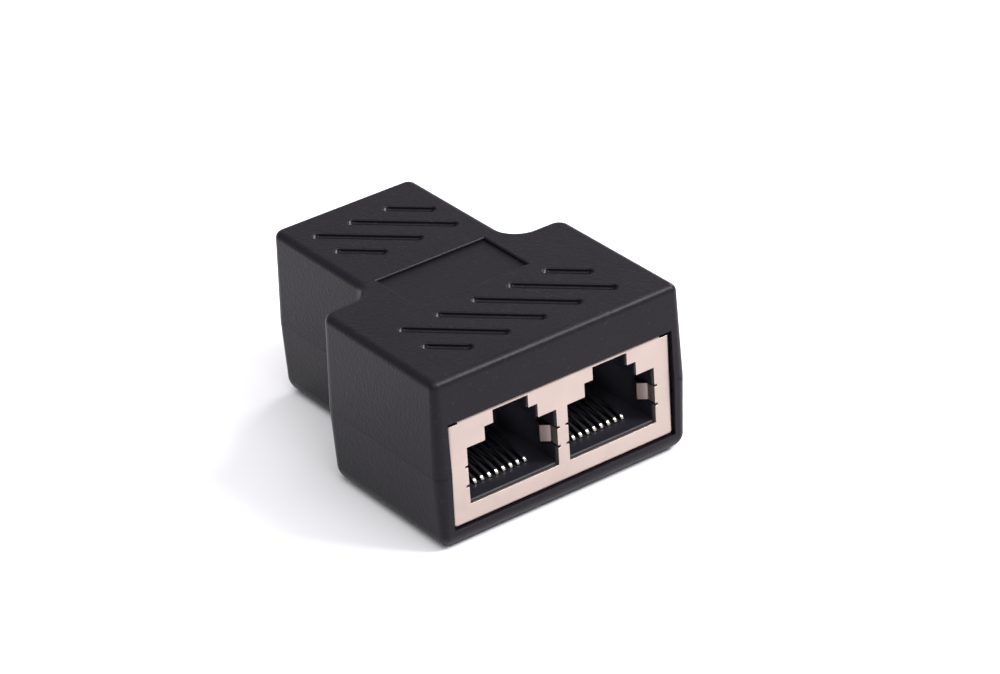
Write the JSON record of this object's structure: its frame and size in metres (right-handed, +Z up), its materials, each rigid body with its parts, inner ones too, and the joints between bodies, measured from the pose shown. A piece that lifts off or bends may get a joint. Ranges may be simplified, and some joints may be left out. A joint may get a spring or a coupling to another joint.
{
  "type": "ethernet splitter",
  "caption": "Ethernet cable splitter: black moulded shell with side-by-side shielded network ports in a wide front block and another port in a narrow rear block.",
  "frame": {"origin": "under the middle of the bounding box, on the flat bottom that the part rests on", "axes": "+X to the right seen from the two-port end, +Y from the two-port end to the single-port end, +Z up"},
  "size_m": [0.034, 0.042, 0.021],
  "materials": {
    "shell": "fine matte texture, black",
    "insulator": "moulded, black",
    "shield": "satin nickel plate on folded sheet",
    "contact": "gold flash, bright",
    "board": "green solder mask, gloss"
  },
  "bodies": {
    "root": {"upper_shell": "shell", "lower_shell": "shell", "circuit_board": "board", "front_shield": "shield", "rear_shield": "shield", "front_housing": "insulator", "rear_housing": "insulator", "front_left_contact_block": "insulator", "front_right_contact_block": "insulator", "rear_contact_block": "insulator", "front_left_contact_1": "contact", "front_left_contact_2": "contact", "front_left_contact_3": "contact", "front_left_contact_4": "contact", "front_left_contact_5": "contact", "front_left_contact_6": "contact", "front_left_contact_7": "contact", "front_left_contact_8": "contact", "front_right_contact_1": "contact", "front_right_contact_2": "contact", "front_right_contact_3": "contact", "front_right_contact_4": "contact", "front_right_contact_5": "contact", "front_right_contact_6": "contact", "front_right_contact_7": "contact", "front_right_contact_8": "contact", "rear_contact_1": "contact", "rear_contact_2": "contact", "rear_contact_3": "contact", "rear_contact_4": "contact", "rear_contact_5": "contact", "rear_contact_6": "contact", "rear_contact_7": "contact", "rear_contact_8": "contact"}
  },
  "joints": []
}
